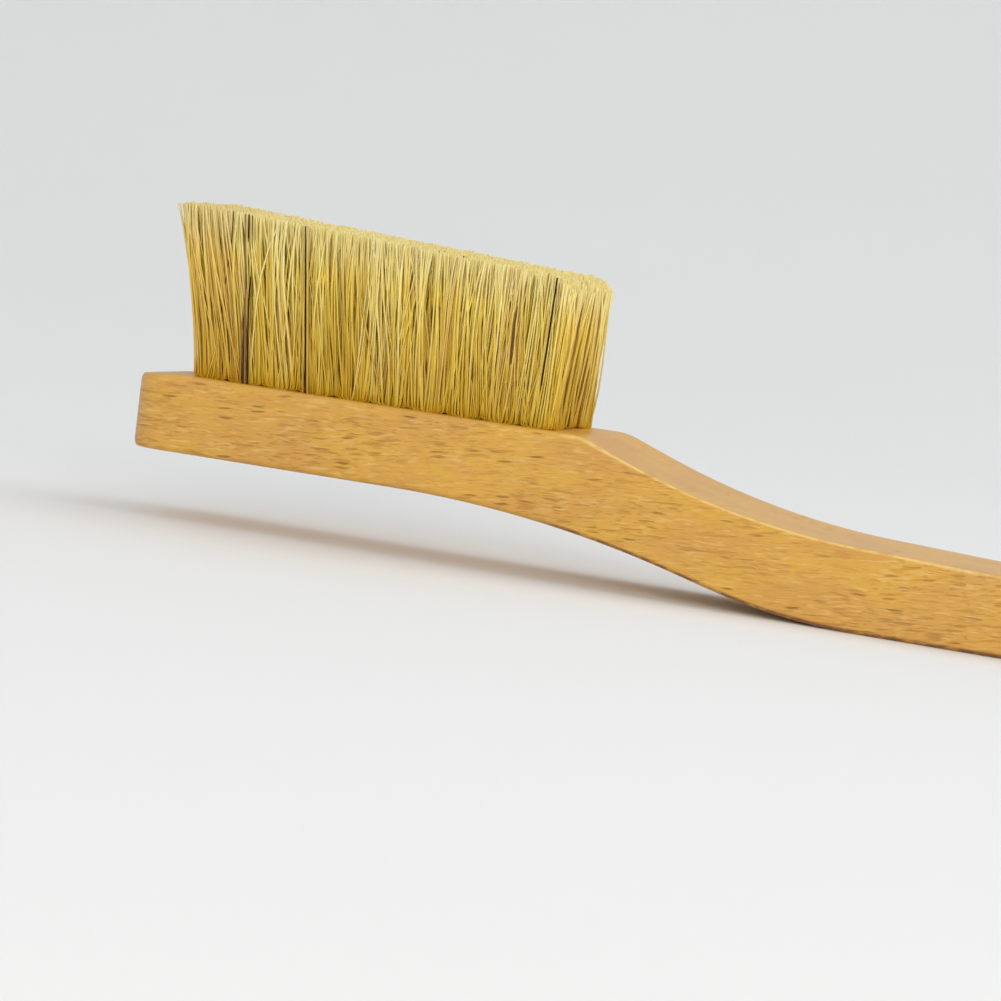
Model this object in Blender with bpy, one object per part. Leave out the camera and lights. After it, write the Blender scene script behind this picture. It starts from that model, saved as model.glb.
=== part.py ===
"""Climbing brush: a bent beech board whose head carries three staggered rows of bristle tufts.

Each tuft is folded over a flat wire anchor that is driven across its own blind hole. Lengths are
in metres. X runs from the head's tip to the handle's tail, Y across the board, and Z up with the
bristles on top. The origin lies under the middle of the board, in the plane of the handle's underside.
"""

import math

import bmesh
import bpy
from mathutils import Vector

# Board seen from above
BOARD_LENGTH = 0.215
BOARD_WIDTH = 0.022
TIP_CORNER_RADIUS = 0.0055
TAIL_CORNER_RADIUS = 0.0095
EDGE_RADIUS = 0.0009
END_EDGE_RADIUS = 0.0014

# Board seen from the side, its corners placed from the head's tip
HEAD_LENGTH = 0.0762
HEAD_THICKNESS = 0.0123
HEAD_RISE = 0.0105
NOSE_LENGTH = 0.0085
NOSE_DROP = 0.0007
NECK_LENGTH = 0.0246
NECK_THICKNESS = 0.0136
TAIL_THICKNESS = 0.0090
ARCH_LEAD = 0.0063
ARCH_LENGTH = 0.0408
NOSE_RADIUS = 0.030
CREST_RADIUS = 0.010
HOLLOW_RADIUS = 0.127
ARCH_RADIUS = 0.188
BELLY_RADIUS = 0.095

# Hole through the handle's tail for a hanging loop
HANGING_HOLE_RADIUS = 0.0035
HANGING_HOLE_FROM_TAIL = 0.011

# Blind holes for the tufts, with the rows' margins taken to the holes' centres
ROW_NAMES = ("front", "middle", "back")
TIP_MARGIN = 0.01265
NECK_MARGIN = 0.0079
SIDE_MARGIN = 0.0044
HOLE_RADIUS = 0.00255
HOLE_DEPTH = 0.0080
LEAST_HOLE_WALL = 0.0010

# Flat wire anchors, standing on edge across the holes
ANCHOR_HEIGHT = 0.0018
ANCHOR_THICKNESS = 0.0004
ANCHOR_BITE = 0.0003
FOLD_DEPTH = 0.0014

# Tufts: strands in a grid that is round at the root and square at the trimmed top
STRANDS_ALONG = 4
STRANDS_ACROSS = 3
ROOT_GROOVE = 0.00006
TOP_LEAN = 0.0024
TOP_PITCH_SHARE = 1.106
TOP_ROW_PITCH_SHARE = 0.97
TOP_FILL_SHARE = 0.70
TIP_END_HEIGHT = 0.0270
NECK_END_HEIGHT = 0.0231
TRIM_CORNER_RADIUS = 0.0052

# Fits, cuts and facets
FIT_CLEARANCE = 0.0003
CUT_OVERRUN = 0.002
LEAST_SECTION_GAP = 0.0002
ARC_STEP = math.radians(2.6)
EDGE_STEPS = 4
END_STEPS = 5
HOLE_SIDES = 16
HANGING_HOLE_SIDES = 32
SMOOTH_ANGLE = math.radians(40.0)

# Colours, roughness and metallic value of the finishes
BEECH = ((0.66, 0.37, 0.13), 0.5, 0.0)
BRISTLE = ((0.67, 0.48, 0.17), 0.6, 0.0)
BRASS = ((0.79, 0.58, 0.26), 0.35, 1.0)

# Sizes worked out from the ones above
ROWS = len(ROW_NAMES)
HEAD_TOP = HEAD_RISE + HEAD_THICKNESS
HALF_LENGTH = BOARD_LENGTH / 2
HALF_WIDTH = BOARD_WIDTH / 2
FIELD_LENGTH = HEAD_LENGTH - TIP_MARGIN - NECK_MARGIN
TUFTS_IN_SIDE_ROW = 1 + math.floor(FIELD_LENGTH / (2 * HOLE_RADIUS + LEAST_HOLE_WALL))
TUFT_PITCH = FIELD_LENGTH / (TUFTS_IN_SIDE_ROW - 1)
ROW_PITCH = (BOARD_WIDTH - 2 * SIDE_MARGIN) / (ROWS - 1)
FIELD_MIDDLE = (HEAD_LENGTH + TIP_MARGIN - NECK_MARGIN) / 2
TOP_PITCH = TUFT_PITCH * TOP_PITCH_SHARE
TOP_ROW_PITCH = ROW_PITCH * TOP_ROW_PITCH_SHARE
HOLE_FLOOR = HEAD_TOP - HOLE_DEPTH
ROOT_RADIUS = HOLE_RADIUS * math.cos(math.pi / HOLE_SIDES) - FIT_CLEARANCE
ANCHOR_BASE = HOLE_FLOOR + FIT_CLEARANCE + FOLD_DEPTH + FIT_CLEARANCE
ANCHOR_LENGTH = 2 * (HOLE_RADIUS + ANCHOR_BITE)


def clear_scene():
    """Remove every object that the file opened with."""
    for item in list(bpy.data.objects):
        bpy.data.objects.remove(item, do_unlink=True)


def make_material(name, finish):
    """A Principled material with a plain colour."""
    colour, roughness, metallic = finish
    material = bpy.data.materials.new(name)
    material.use_nodes = True
    shader = material.node_tree.nodes["Principled BSDF"]
    shader.inputs["Base Color"].default_value = (*colour, 1.0)
    shader.inputs["Roughness"].default_value = roughness
    shader.inputs["Metallic"].default_value = metallic
    return material


def add_object(name, bm, material=None):
    """Turn a bmesh into a named object of the scene."""
    mesh = bpy.data.meshes.new(name)
    bm.to_mesh(mesh)
    bm.free()
    item = bpy.data.objects.new(name, mesh)
    bpy.context.scene.collection.objects.link(item)
    if material:
        mesh.materials.append(material)
    return item


def add_cutter(name, bm):
    """A wire-drawn object that only cuts others."""
    cutter = add_object(name, bm)
    cutter.hide_render = True
    cutter.display_type = "WIRE"
    return cutter


def cut(item, cutter):
    """Take a cutter's shape out of an object."""
    modifier = item.modifiers.new("cut " + cutter.name, "BOOLEAN")
    modifier.operation = "DIFFERENCE"
    modifier.solver = "EXACT"
    modifier.object = cutter


def along(from_tip):
    """X of a place given by its distance from the head's tip."""
    return from_tip - HALF_LENGTH


def corner_arc(before, corner, after, radius, room):
    """Points of the arc that rounds one corner, and the length that it takes of each side."""
    back = (before - corner).normalized()
    ahead = (after - corner).normalized()
    turn = math.pi - back.angle(ahead)
    reach = min(radius * math.tan(turn / 2), room, (after - corner).length)
    radius = reach / math.tan(turn / 2)
    centre = corner + (back + ahead).normalized() * radius / math.cos(turn / 2)
    start = (corner + back * reach - centre).normalized()
    end = (corner + ahead * reach - centre).normalized()
    steps = max(2, math.ceil(turn / ARC_STEP))
    points = [centre + start.slerp(end, step / steps) * radius for step in range(steps + 1)]
    return points, reach


def rounded_path(corners, radii):
    """Points along a line through the corners, with its inner corners rounded."""
    points = [corners[0]]
    used = 0.0
    for before, corner, after, radius in zip(corners, corners[1:], corners[2:], radii):
        room = (corner - before).length - used
        arc, used = corner_arc(before, corner, after, radius, room)
        points.extend(arc)
    points.append(corners[-1])
    return points


def height_on(path, from_tip):
    """Height of a path at a distance from the head's tip."""
    for left, right in zip(path, path[1:]):
        if left.x <= from_tip <= right.x and right.x > left.x:
            share = (from_tip - left.x) / (right.x - left.x)
            return left.y + (right.y - left.y) * share
    return path[-1].y


def board_top():
    """Side outline of the board's upper face, from tip to tail."""
    corners = [
        Vector((0.0, HEAD_TOP - NOSE_DROP)),
        Vector((NOSE_LENGTH, HEAD_TOP)),
        Vector((HEAD_LENGTH, HEAD_TOP)),
        Vector((HEAD_LENGTH + NECK_LENGTH, NECK_THICKNESS)),
        Vector((BOARD_LENGTH, TAIL_THICKNESS)),
    ]
    return rounded_path(corners, (NOSE_RADIUS, CREST_RADIUS, HOLLOW_RADIUS))


def board_underside():
    """Side outline of the board's lower face, from tip to tail."""
    arch = HEAD_LENGTH - ARCH_LEAD
    corners = [
        Vector((0.0, HEAD_RISE)),
        Vector((arch, HEAD_RISE)),
        Vector((arch + ARCH_LENGTH, 0.0)),
        Vector((BOARD_LENGTH, 0.0)),
    ]
    return rounded_path(corners, (ARCH_RADIUS, BELLY_RADIUS))


def rounding_loss(distance, radius):
    """How far a rounded corner has drawn in at a distance from the face that it ends on."""
    left = radius - min(max(distance, 0.0), radius)
    return radius - math.sqrt(radius ** 2 - left ** 2)


def end_distances(radius):
    """Distances from an end face at which its rounded corner gets a section."""
    return [radius * (1 - math.cos(math.pi / 2 * step / END_STEPS)) for step in range(END_STEPS + 1)]


def section_places(top, underside):
    """Distances from the tip of all the board's sections."""
    tip = end_distances(END_EDGE_RADIUS) + end_distances(TIP_CORNER_RADIUS)
    tail = end_distances(END_EDGE_RADIUS) + end_distances(TAIL_CORNER_RADIUS)
    wanted = {point.x for point in top + underside} | set(tip)
    wanted |= {BOARD_LENGTH - distance for distance in tail}
    places = []
    for place in sorted(wanted):
        if not places or place - places[-1] >= LEAST_SECTION_GAP:
            places.append(place)
    places[-1] = BOARD_LENGTH
    return places


def section_ring(half_width, low, high):
    """Corner points, across and up, of one section with rounded edges."""
    radius = min(EDGE_RADIUS, half_width, (high - low) / 2)
    side = half_width - radius
    roof = high - radius
    floor = low + radius
    corners = ((side, roof), (-side, roof), (-side, floor), (side, floor))
    ring = []
    for quarter, (y, z) in enumerate(corners):
        for step in range(EDGE_STEPS + 1):
            angle = math.pi / 2 * (quarter + step / EDGE_STEPS)
            ring.append((y + radius * math.cos(angle), z + radius * math.sin(angle)))
    return ring


def board_section(from_tip, top, underside):
    """One ring of the board at a distance from the tip."""
    from_tail = BOARD_LENGTH - from_tip
    end_loss = rounding_loss(min(from_tip, from_tail), END_EDGE_RADIUS)
    side_loss = rounding_loss(from_tip, TIP_CORNER_RADIUS) + rounding_loss(from_tail, TAIL_CORNER_RADIUS)
    low = height_on(underside, from_tip) + end_loss
    high = height_on(top, from_tip) - end_loss
    return section_ring(HALF_WIDTH - side_loss, low, high)


def build_board(material):
    """The board lofted through its sections, with its end faces closed."""
    top = board_top()
    underside = board_underside()
    bm = bmesh.new()
    rings = []
    for place in section_places(top, underside):
        ring = board_section(place, top, underside)
        rings.append([bm.verts.new((along(place), y, z)) for y, z in ring])
    for left, right in zip(rings, rings[1:]):
        for near, far in zip(range(len(left)), list(range(1, len(left))) + [0]):
            bm.faces.new((left[near], right[near], right[far], left[far]))
    bm.faces.new(rings[0])
    bm.faces.new(list(reversed(rings[-1])))
    bmesh.ops.recalc_face_normals(bm, faces=bm.faces)
    board = add_object("beech_board", bm, material)
    board.data.set_sharp_from_angle(angle=SMOOTH_ANGLE)
    return board


def add_round_bar(bm, place, radius, sides, low, high):
    """Add an upright round bar to a bmesh."""
    made = bmesh.ops.create_cone(
        bm, cap_ends=True, segments=sides, radius1=radius, radius2=radius, depth=high - low
    )
    bmesh.ops.translate(bm, verts=made["verts"], vec=(place.x, place.y, (low + high) / 2))


def add_block(bm, middle, size):
    """Add a block to a bmesh."""
    made = bmesh.ops.create_cube(bm, size=1.0)
    bmesh.ops.scale(bm, verts=made["verts"], vec=size)
    bmesh.ops.translate(bm, verts=made["verts"], vec=middle)


def anchor_middle(place):
    """Middle of the anchor in the hole at a place."""
    return Vector((place.x, place.y, ANCHOR_BASE + ANCHOR_HEIGHT / 2))


def anchor_space():
    """Size of the space that an anchor needs in the wood and in its tuft."""
    thickness = ANCHOR_THICKNESS + 2 * FIT_CLEARANCE
    return Vector((thickness, ANCHOR_LENGTH + 2 * FIT_CLEARANCE, ANCHOR_HEIGHT + 2 * FIT_CLEARANCE))


def drill_tuft_holes(board, places):
    """Sink the blind holes, and the slots that the anchors' ends bite into the walls."""
    holes = bmesh.new()
    slots = bmesh.new()
    for place in places:
        add_round_bar(holes, place, HOLE_RADIUS, HOLE_SIDES, HOLE_FLOOR, HEAD_TOP + CUT_OVERRUN)
        add_block(slots, anchor_middle(place), anchor_space())
    cut(board, add_cutter("tuft_hole_cutter", holes))
    cut(board, add_cutter("anchor_slot_cutter", slots))


def drill_hanging_hole(board):
    """Drill the hanging hole through the tail."""
    bm = bmesh.new()
    place = Vector((along(BOARD_LENGTH - HANGING_HOLE_FROM_TAIL), 0.0))
    high = max(NECK_THICKNESS, TAIL_THICKNESS) + CUT_OVERRUN
    add_round_bar(bm, place, HANGING_HOLE_RADIUS, HANGING_HOLE_SIDES, -CUT_OVERRUN, high)
    cut(board, add_cutter("hanging_hole_cutter", bm))


def tuft_places():
    """Row name, number and place of each tuft, with the place of its middle at the trimmed top."""
    tufts = []
    for row in range(ROWS):
        shift = row - (ROWS - 1) / 2
        count = TUFTS_IN_SIDE_ROW - row % 2
        for number in range(count):
            step = number - (count - 1) / 2
            root = Vector((along(FIELD_MIDDLE) + step * TUFT_PITCH, shift * ROW_PITCH))
            top = Vector((along(FIELD_MIDDLE) - TOP_LEAN + step * TOP_PITCH, shift * TOP_ROW_PITCH))
            tufts.append((ROW_NAMES[row], number + 1, root, top))
    return tufts


def trim_height(x):
    """Height of the trimmed bristle top: a slanting cut with its corner rounded at the neck end."""
    half_field = TUFTS_IN_SIDE_ROW * TOP_PITCH / 2
    middle = along(FIELD_MIDDLE) - TOP_LEAN
    share = (x - middle + half_field) / (2 * half_field)
    height = TIP_END_HEIGHT + (NECK_END_HEIGHT - TIP_END_HEIGHT) * share
    to_end = max(middle + half_field - x, 0.0)
    return HEAD_TOP + height - rounding_loss(to_end, TRIM_CORNER_RADIUS)


def disc_point(across, up, radius):
    """Point of a round patch that stands for a point of the square from -1 to 1."""
    x = across * math.sqrt(1 - up ** 2 / 2)
    y = up * math.sqrt(1 - across ** 2 / 2)
    return Vector((x * radius, y * radius))


def grow_strands(bm, faces, root, top):
    """Draw a strand out of each face, up to its own patch of the trimmed top."""
    cell = Vector((TOP_PITCH / STRANDS_ALONG, TOP_ROW_PITCH / STRANDS_ACROSS))
    ordered = sorted(faces, key=lambda face: face.index)
    bmesh.ops.inset_individual(bm, faces=ordered, thickness=ROOT_GROOVE, use_even_offset=True)
    drawn = bmesh.ops.extrude_discrete_faces(bm, faces=ordered)["faces"]
    for index, face in enumerate(drawn):
        column = index % STRANDS_ALONG - (STRANDS_ALONG - 1) / 2
        line = index // STRANDS_ALONG - (STRANDS_ACROSS - 1) / 2
        centre = face.calc_center_median()
        tip = top + Vector((column * cell.x, line * cell.y))
        for vert in face.verts:
            side_x = math.copysign(cell.x, vert.co.x - centre.x) * TOP_FILL_SHARE / 2
            side_y = math.copysign(cell.y, vert.co.y - centre.y) * TOP_FILL_SHARE / 2
            x = tip.x + side_x
            vert.co = (x, tip.y + side_y, trim_height(x))


def root_grid(bm, root):
    """A round patch of square-laid faces at a tuft's root, flush with the wood."""
    columns = STRANDS_ALONG + 1
    verts = []
    for line in range(STRANDS_ACROSS + 1):
        for column in range(columns):
            point = disc_point(2 * column / STRANDS_ALONG - 1, 2 * line / STRANDS_ACROSS - 1, ROOT_RADIUS)
            verts.append(bm.verts.new((root.x + point.x, root.y + point.y, HEAD_TOP)))
    faces = []
    for line in range(STRANDS_ACROSS):
        for column in range(STRANDS_ALONG):
            corner = line * columns + column
            ring = (corner, corner + 1, corner + columns + 1, corner + columns)
            faces.append(bm.faces.new([verts[number] for number in ring]))
    bm.faces.index_update()
    return faces


def build_tuft(name, root, top, material):
    """A folded tuft: its root fills the hole round the anchor, and its strands fan out above."""
    bm = bmesh.new()
    faces = root_grid(bm, root)
    rim = [edge for edge in bm.edges if edge.is_boundary]
    lowered = bmesh.ops.extrude_edge_only(bm, edges=rim)["geom"]
    floor = HOLE_FLOOR + FIT_CLEARANCE
    low_edges = [part for part in lowered if isinstance(part, bmesh.types.BMEdge)]
    for part in lowered:
        if isinstance(part, bmesh.types.BMVert):
            part.co.z = floor
    bmesh.ops.contextual_create(bm, geom=low_edges)
    grow_strands(bm, faces, root, top)
    bmesh.ops.recalc_face_normals(bm, faces=bm.faces)
    return add_object(name, bm, material)


def build_tufts(tufts, material):
    """All the tufts, each with a window at its fold for the anchor."""
    windows = bmesh.new()
    for _, _, root, _ in tufts:
        add_block(windows, anchor_middle(root), anchor_space())
    cutter = add_cutter("tuft_window_cutter", windows)
    for row, number, root, top in tufts:
        cut(build_tuft(f"{row}_tuft_{number:02d}", root, top, material), cutter)


def build_anchors(tufts, material):
    """A flat wire anchor across the fold of each tuft."""
    for row, number, root, _ in tufts:
        bm = bmesh.new()
        add_block(bm, anchor_middle(root), (ANCHOR_THICKNESS, ANCHOR_LENGTH, ANCHOR_HEIGHT))
        add_object(f"{row}_anchor_{number:02d}", bm, material)


def main():
    """Build the whole brush."""
    clear_scene()
    beech = make_material("oiled beech", BEECH)
    bristle = make_material("boar bristle", BRISTLE)
    brass = make_material("brass wire", BRASS)
    tufts = tuft_places()
    board = build_board(beech)
    drill_tuft_holes(board, [root for _, _, root, _ in tufts])
    drill_hanging_hole(board)
    build_tufts(tufts, bristle)
    build_anchors(tufts, brass)


main()
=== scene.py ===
"""Looks of a climbing brush: an oiled beech board with boar bristle tufts folded over brass wire.

Lengths are in metres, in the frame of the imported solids: X runs from the head's tip to the handle's
tail, Y across the board, and Z up with the bristles on top.
"""

import math
from functools import partial

import bmesh
import bpy
import numpy as np
from bpy.props import FloatProperty, FloatVectorProperty, IntProperty, PointerProperty
from mathutils import Matrix, Vector


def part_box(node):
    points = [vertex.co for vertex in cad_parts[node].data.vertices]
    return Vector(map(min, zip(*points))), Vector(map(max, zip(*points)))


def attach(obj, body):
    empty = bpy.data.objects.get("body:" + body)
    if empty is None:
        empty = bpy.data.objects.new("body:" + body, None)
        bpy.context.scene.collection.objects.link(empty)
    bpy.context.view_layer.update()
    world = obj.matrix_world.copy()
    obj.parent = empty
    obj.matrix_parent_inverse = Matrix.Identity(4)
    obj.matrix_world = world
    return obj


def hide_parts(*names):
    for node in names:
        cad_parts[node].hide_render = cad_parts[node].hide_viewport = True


bl_info = {
    "name": "Climbing Brush",
    "version": (1, 0, 0),
    "blender": (4, 5, 0),
    "location": "3D View > Sidebar > Brush",
    "description": "Builds a wooden climbing brush with its bristle tufts, and a studio for it",
    "category": "Add Mesh",
}

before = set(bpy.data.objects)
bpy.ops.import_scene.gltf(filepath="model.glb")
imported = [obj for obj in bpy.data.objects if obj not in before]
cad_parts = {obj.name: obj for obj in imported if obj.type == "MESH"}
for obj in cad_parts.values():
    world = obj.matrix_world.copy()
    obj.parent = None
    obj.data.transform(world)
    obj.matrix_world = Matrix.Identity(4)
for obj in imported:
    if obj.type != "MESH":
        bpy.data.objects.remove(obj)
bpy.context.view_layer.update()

BODY = "root"
MM = 0.001
TINY = 1e-9
BOARD_NODE = "beech_board"
TUFT_WORD = "_tuft_"
ANCHOR_WORD = "_anchor_"
TUFTS = sorted(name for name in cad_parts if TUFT_WORD in name)
ANCHORS = sorted(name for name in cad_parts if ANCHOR_WORD in name)
BOARD_LOW, BOARD_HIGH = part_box(BOARD_NODE)
BOARD_LENGTH = BOARD_HIGH.x - BOARD_LOW.x
TIP_X = BOARD_LOW.x
HEAD_TOP = BOARD_HIGH.z
BAKE_MAP = "OFBake"

# Shares of a hair's height above the wood at which its path has points
LEG_REACH = np.array((0.0, 0.005, 0.014, 0.05, 0.15, 0.30, 0.48, 0.66, 0.84, 1.0))

# Softboxes of the studio: place, width, height, watts and tint, and the point that they face
SOFTBOXES = {
    "overhead softbox": ((0.50, 0.20, 0.95), 0.9, 0.7, 3.0, "FFFFFF"),
    "front softbox": ((0.45, -0.98, 0.40), 1.1, 0.6, 6.7, "FFFBF4"),
}
LIT_POINT = (-0.04, 0.0, 0.02)
COVE_STEPS = 16
BACKDROP_SIDES = 96

# Dark hairs that show on the near side: distances from the tip at the root and at the trim, the
# shares of the height between which each lies on the surface, and how dark it is
DARK_HAIRS = (
    (0.0183, 0.0158, 0.0, 0.30, 0.45),
    (0.0187, 0.0163, 0.0, 0.50, 0.92),
    (0.0191, 0.0161, 0.0, 1.0, 0.50),
    (0.0195, 0.0168, 0.0, 0.48, 1.0),
    (0.0199, 0.0166, 0.0, 0.30, 0.60),
    (0.0200, 0.0173, 0.6, 1.0, 0.90),
    (0.0291, 0.0261, 0.0, 1.0, 0.22),
    (0.0295, 0.0265, 0.0, 1.0, 1.0),
    (0.0299, 0.0269, 0.0, 1.0, 0.18),
    (0.0128, 0.0140, 0.9, 1.0, 0.9),
    (0.0629, 0.0628, 0.45, 0.75, 0.8),
    (0.0681, 0.0689, 0.3, 1.0, 1.0),
)

# Waves that make the grain run unevenly: their sizes in mm, along, across and up, and their reach
GRAIN_WAVES = (
    ((26.0, 14.0, 9.0), (0.0, 2.4, 2.4)),
    ((2.6, 6.0, 1.6), (0.5, 0.3, 0.45)),
)

# Patterns of the wood: kind, sizes in mm as above, where each starts, and its detail and roughness
WOOD_PATTERNS = {
    "growth bands": ("TexNoise", (18.0, 9.0, 6.0), (0.0, 0.0, 0.0), 3.0, 0.55),
    "fibres": ("TexNoise", (7.0, 0.5, 0.34), (0.0, 0.0, 0.0), 4.0, 0.6),
    "clusters": ("TexNoise", (15.0, 16.0, 4.5), (7.3, 1.1, 3.7), 2.0, 0.5),
    "flecks": ("TexNoise", (5.0, 9.0, 0.60), (0.0, 0.0, 0.0), 1.0, 0.5),
    "fine flecks": ("TexNoise", (2.0, 5.0, 0.25), (31.7, 12.9, 5.1), 1.0, 0.5),
    "pale flecks": ("TexNoise", (2.8, 5.0, 0.36), (57.3, 3.3, 17.9), 1.0, 0.5),
    "dashes": ("TexVoronoi", (5.2, 9.0, 0.60), (11.9, 23.3, 41.7), 0.0, 0.5),
}

# Looks of the wood: the values of its pattern or place at which each starts and is full, and the
# strengths that it has there
WOOD_LEVELS = {
    "growth bands": (0.38, 0.64, 0.0, 1.0),
    "clusters": (0.36, 0.60, 0.27, 0.60),
    "flecks": (0.42, 0.32, 0.0, 1.0),
    "fine flecks": (0.43, 0.33, 0.0, 0.55),
    "pale flecks": (0.54, 0.74, 0.0, 0.55),
    "dashes": (0.34, 0.10, 0.0, 1.0),
    "chosen dashes": (0.42, 0.98, 0.0, 1.0),
    "sides": (0.45, 0.90, 1.0, 0.25),
    # ripple that breaks up the edges' rub, painted highlight and painted shade
    "broken wear": (0.36, 0.56, 0.3, 1.0),
    # long upper edges: partly real rub, partly a painted highlight
    "rubbed edges": (0.18, 0.58, 0.0, 0.75),
    # long lower edges: painted shade
    "worn edges": (0.18, 0.58, 0.0, 0.85),
    "ends": (0.55, 0.95, 0.0, 0.6),
}
FIBRE_TONES = ((0.30, 0.90), (0.70, 1.0))
FLECK_RELIEF = -1.5  # relief of a full fleck, in that of the fibres
HEAD_WEAR_AND_LIGHT = 0.12  # share of the handle's edge rub, painted highlight and painted shade that the head has
WEAR_AND_LIGHT_FADE = 6 * MM  # length before the head's end over which the edges' rub, painted highlight and painted shade grow

# Looks along a hair, by its share of the height: how much root colour with painted shade near the wood it
# has, and where the pale tip and the inner colour, a painted tint for light through the outer hairs, start
# and end, with their strengths there
HAIR_SHADES = (0.0, 0.28, 0.55, 0.85)  # places of tawny, golden, blond and cream
ROOT_TINT_AND_SHADE_LEVELS = ((0.0, 1.0), (0.09, 0.70), (0.34, 0.42), (0.72, 0.0))
TIP_LEVELS = (0.68, 1.0, 0.0, 0.55)
INNER_LEVELS = (0.70, 1.0, 0.60, 0.0)
HALF_DARK = 0.4  # darkness at which a hair is fawn
MOTTLE_STEPS = (0.30, 0.62)  # values of its pattern at a full spot and between the spots
MOTTLE_SIZES = (0.5 * MM, 0.5 * MM, 5 * MM)
WIRE_LINES = (0.08 * MM, 4 * MM, 0.08 * MM)
WIRE_ROUGHNESS = (0.22, 0.5)
CLOUD_SCALE = 3.0  # clouds in a metre of the paper
CLOUD_TONES = ((0.3, 0.985), (0.7, 1.0))

# The board's mesh
ARC_STEP = math.radians(1.0)
LEAST_ARC_STEPS = 4
EDGE_STEPS = 8  # of each long edge's rounding
CORNER_STEPS = 9  # of the round corners of tip and tail
HOLE_SIDES = 24
HANGING_HOLE_SIDES = 48
SECTION_STEP = 2.5 * MM
LEAST_STEP = 0.09 * MM
WIDEST_EDGE = 0.45  # share of a section that one rounding may take
SUPPORT_SHARES = (0.06, 0.94)  # places of the loops that keep a flat side's shading flat
SHARP_ANGLE = math.radians(30.0)

# The bristle block
EDGE_PITCHES = (1.2, 0.75)  # an edge tuft's root is this near to the block's edge, along and across
LEAST_SET_BACK = MM  # a row that ends further in than this reaches out to the block's end
SET_BACK_SHARE = 0.9  # share of that reach that it has just above the wood
TURN_BACK_SHARES = (1.75, 2.0)  # turn of a top that strays out, over how far it is out
TRIM_MARGIN = MM  # the trim's roundings aren't followed nearer to the block's ends than this
LOCK_JITTER = 0.42  # how far a lock stands off its place, over the locks' spacing

# The hairs
HAIR_JITTER = 0.75  # how far a hair stands off its place, over the hairs' spacing
CELL_MARGIN = 0.01  # least share of half a tuft between a hair and its edge
ACROSS_STRAY = 0.6  # stray across the brush, over that along it
LEAST_PULL = 0.5  # least share of its lock's pull that a hair follows
LEAST_RADIUS = 0.32  # this and the next three are over the usual thickness
MOST_RADIUS = 0.78
WIRE_GAP = 0.6  # from the wire to the middle of the nearest hair
SINK = 3  # how deep a dark hair lies where it doesn't show
DARK_REACH = 0.95  # share of its cell in which a tuft holds the dark hairs that show
TIP_TAPER = 0.16  # share of its thickness that a hair loses towards its tip
SHOULDER_WIDTH = 0.72  # this and the next two are over the fold's half width
SHOULDER_DROP = 0.40
FOLD_DROP = 0.58
FOLD_POINTS = 3
WAYS = (-1, 1)

# Cells of the flat map
MAP_MARGIN = 0.10
MAP_END = 0.3  # half width of a hair's end


def linear(code):
    """Linear colour of an sRGB hex code such as D8A55A."""
    values = [int(code[at:at + 2], 16) / 255 for at in (0, 2, 4)]
    return tuple(v / 12.92 if v <= 0.04045 else ((v + 0.055) / 1.055) ** 2.4 for v in values)


def length(name, description, default):
    """A length that a user may change."""
    return FloatProperty(
        name=name, description=description, default=default, unit="LENGTH", subtype="DISTANCE", precision=5,
    )


def share(name, description, default):
    """A share or another bare number that a user may change."""
    return FloatProperty(name=name, description=description, default=default, precision=3)


def number(name, description, default):
    """A count that a user may change."""
    return IntProperty(name=name, description=description, default=default)


def angle(name, description, degrees):
    """An angle that a user may change."""
    return FloatProperty(
        name=name, description=description, default=math.radians(degrees), unit="ROTATION", subtype="ANGLE"
    )


def colour(name, description, code):
    """A colour that a user may change, given as an sRGB hex code."""
    return FloatVectorProperty(
        name=name, description=description, default=linear(code), subtype="COLOR", min=0.0, max=1.0
    )


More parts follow.
